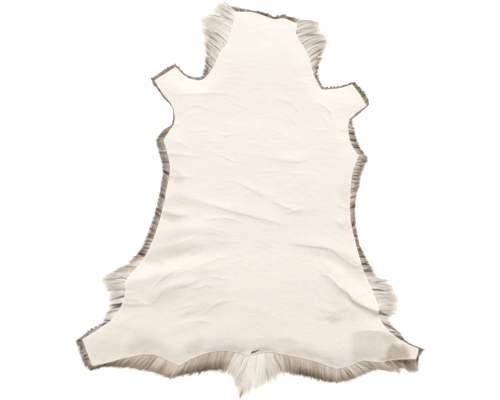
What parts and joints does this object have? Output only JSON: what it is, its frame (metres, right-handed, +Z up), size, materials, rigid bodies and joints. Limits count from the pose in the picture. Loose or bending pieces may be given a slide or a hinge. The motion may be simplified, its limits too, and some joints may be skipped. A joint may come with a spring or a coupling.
{
  "type": "reindeer hide",
  "caption": "Whole reindeer hide dressed with the hair on, lying hair side down with its pale flesh side up and a fringe of grey-brown hair showing past the cut edge.",
  "frame": {"origin": "on the surface that the hide lies on, under the middle of its bounding box", "axes": "+Z up, out of the flesh side; +Y to the neck end, -Y to the tail; +X to the right seen from above"},
  "size_m": [1.1, 1.25, 0.0377],
  "materials": {
    "dressed_leather": "matte",
    "reindeer_hair": "matte",
    "cream_hair": "matte"
  },
  "bodies": {
    "root": {"hide": "dressed_leather"}
  },
  "joints": []
}
